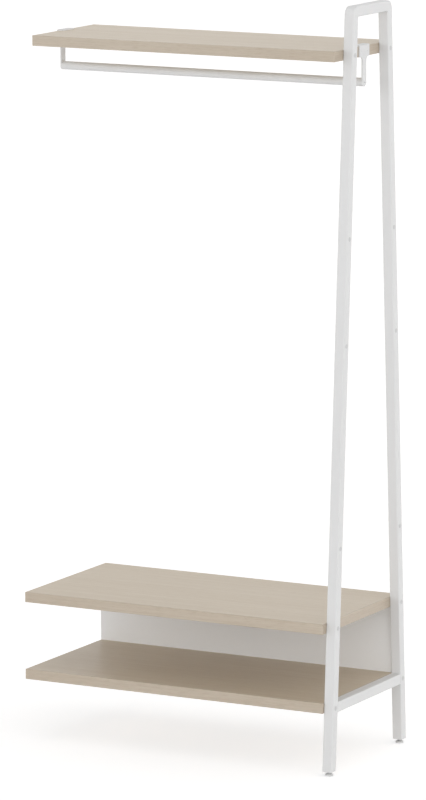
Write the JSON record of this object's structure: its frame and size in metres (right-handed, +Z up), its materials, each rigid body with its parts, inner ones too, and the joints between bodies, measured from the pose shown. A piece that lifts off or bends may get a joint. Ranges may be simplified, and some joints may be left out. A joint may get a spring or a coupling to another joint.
{
  "type": "ladder coat rack bay",
  "caption": "Add-on bay of an open hall stand: a leaning ladder frame at one end carries a hat shelf with a hang rail, a bench shelf, a shoe shelf and a back panel.",
  "frame": {"origin": "on the floor, under the middle of the bay's box", "axes": "+X along the shelves towards the ladder, +Y from front to rear, +Z up"},
  "size_m": [0.8288, 0.4038, 1.8],
  "materials": {
    "frame_white": "satin powder coat",
    "wood_grain": "matt wood-grain melamine",
    "wood_edging": "matt wood-grain edge banding",
    "panel_white": "matt white melamine",
    "panel_edging": "matt white edge banding",
    "zinc_steel": "bright zinc",
    "foot_pad": "light grey, slightly glossy",
    "cap_grey": "light grey, matt",
    "plug_grey": "dark grey nylon",
    "beech": "raw beech"
  },
  "bodies": {
    "rack": {"front_leg": "frame_white", "rear_leg": "frame_white", "top_bar": "frame_white", "lower_rung": "frame_white", "front_leg_plug": "plug_grey", "rear_leg_plug": "plug_grey", "hat_shelf": "wood_grain", "bench_shelf": "wood_grain", "shoe_shelf": "wood_grain", "hat_shelf_edging": "wood_edging", "bench_shelf_edging": "wood_edging", "shoe_shelf_edging": "wood_edging", "back_panel": "panel_white", "back_panel_edging": "panel_edging", "panel_dowels": "beech", "panel_screws": "zinc_steel", "hang_rail": "frame_white", "left_rail_plate": "frame_white", "right_rail_plate": "frame_white", "rail_plate_screws": "frame_white", "rail_end_screws": "frame_white", "rail_end_plugs": "plug_grey", "left_end_inserts": "zinc_steel", "right_end_inserts": "zinc_steel", "shelf_bolts": "zinc_steel", "hole_caps": "cap_grey"},
    "front_foot_screw": {"front_foot_stud": "zinc_steel"},
    "front_foot": {"front_foot_pad": "foot_pad"},
    "rear_foot_screw": {"rear_foot_stud": "zinc_steel"},
    "rear_foot": {"rear_foot_pad": "foot_pad"}
  },
  "joints": [
    {"name": "front_foot_height", "type": "slide", "parent": "rack", "child": "front_foot_screw", "axis": [0, 0, -1], "range_m": [-0.003, 0.012]},
    {"name": "front_foot_swivel", "type": "hinge", "parent": "front_foot_screw", "child": "front_foot", "pos_m": [0.4011, -0.18938, 0], "axis": [0, 0, 1], "continuous": true},
    {"name": "rear_foot_height", "type": "slide", "parent": "rack", "child": "rear_foot_screw", "axis": [0, 0, -1], "range_m": [-0.003, 0.012]},
    {"name": "rear_foot_swivel", "type": "hinge", "parent": "rear_foot_screw", "child": "rear_foot", "pos_m": [0.4011, 0.18938, 0], "axis": [0, 0, 1], "continuous": true}
  ]
}
